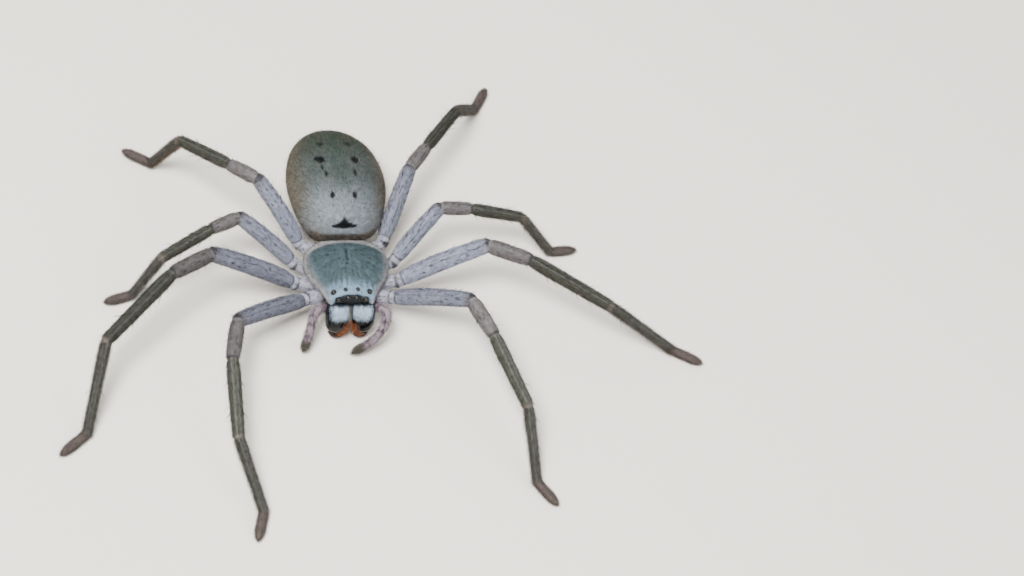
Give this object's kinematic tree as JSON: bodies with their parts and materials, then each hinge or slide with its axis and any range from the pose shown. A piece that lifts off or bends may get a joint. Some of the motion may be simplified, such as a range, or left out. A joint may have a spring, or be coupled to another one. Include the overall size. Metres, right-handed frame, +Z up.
{
  "type": "huntsman spider",
  "caption": "Still, life-size model of a grey huntsman spider at rest with its long legs spread wide, covered in short fur; it stands on the flat soles of its feet.",
  "frame": {"origin": "on the floor, at the centre of the spider's bounding box seen from above", "axes": "+Z up, -Y is the way the head faces, +X is the spider's left"},
  "size_m": [0.1134, 0.0926, 0.0172],
  "materials": {
    "carapace": "matt cuticle under short pale blue-grey hair",
    "sternum": "matt cuticle under short brownish-grey hair",
    "abdomen": "soft skin under short grey hair with dark spots",
    "spinnerets": "matt, dark brown-grey",
    "coxa": "pale lavender-grey, short hair",
    "femur": "pale blue-grey, short hair with dark bristles",
    "patella": "grey-brown, short hair",
    "tibia": "dark green-grey, short hair",
    "foot": "grey-brown, with a dense dark brush under the tarsus",
    "palp": "pale pinkish-grey with dark marks",
    "chelicera": "glossy black horn with blue-white hair on the front",
    "fang": "glossy dark red-brown horn",
    "eye": "glossy black lens"
  },
  "bodies": {
    "root": {"abdomen": "abdomen", "carapace": "carapace", "eye_front_inner_left": "eye", "eye_front_inner_right": "eye", "eye_front_outer_left": "eye", "eye_front_outer_right": "eye", "eye_rear_inner_left": "eye", "eye_rear_inner_right": "eye", "eye_rear_outer_left": "eye", "eye_rear_outer_right": "eye", "left_chelicera": "chelicera", "left_fang": "fang", "left_leg_1_coxa": "coxa", "left_leg_1_femur": "femur", "left_leg_1_foot": "foot", "left_leg_1_patella": "patella", "left_leg_1_tibia": "tibia", "left_leg_2_coxa": "coxa", "left_leg_2_femur": "femur", "left_leg_2_foot": "foot", "left_leg_2_patella": "patella", "left_leg_2_tibia": "tibia", "left_leg_3_coxa": "coxa", "left_leg_3_femur": "femur", "left_leg_3_foot": "foot", "left_leg_3_patella": "patella", "left_leg_3_tibia": "tibia", "left_leg_4_coxa": "coxa", "left_leg_4_femur": "femur", "left_leg_4_foot": "foot", "left_leg_4_patella": "patella", "left_leg_4_tibia": "tibia", "left_palp": "palp", "right_chelicera": "chelicera", "right_fang": "fang", "right_leg_1_coxa": "coxa", "right_leg_1_femur": "femur", "right_leg_1_foot": "foot", "right_leg_1_patella": "patella", "right_leg_1_tibia": "tibia", "right_leg_2_coxa": "coxa", "right_leg_2_femur": "femur", "right_leg_2_foot": "foot", "right_leg_2_patella": "patella", "right_leg_2_tibia": "tibia", "right_leg_3_coxa": "coxa", "right_leg_3_femur": "femur", "right_leg_3_foot": "foot", "right_leg_3_patella": "patella", "right_leg_3_tibia": "tibia", "right_leg_4_coxa": "coxa", "right_leg_4_femur": "femur", "right_leg_4_foot": "foot", "right_leg_4_patella": "patella", "right_leg_4_tibia": "tibia", "right_palp": "palp", "spinnerets": "spinnerets", "sternum": "sternum"}
  },
  "joints": []
}
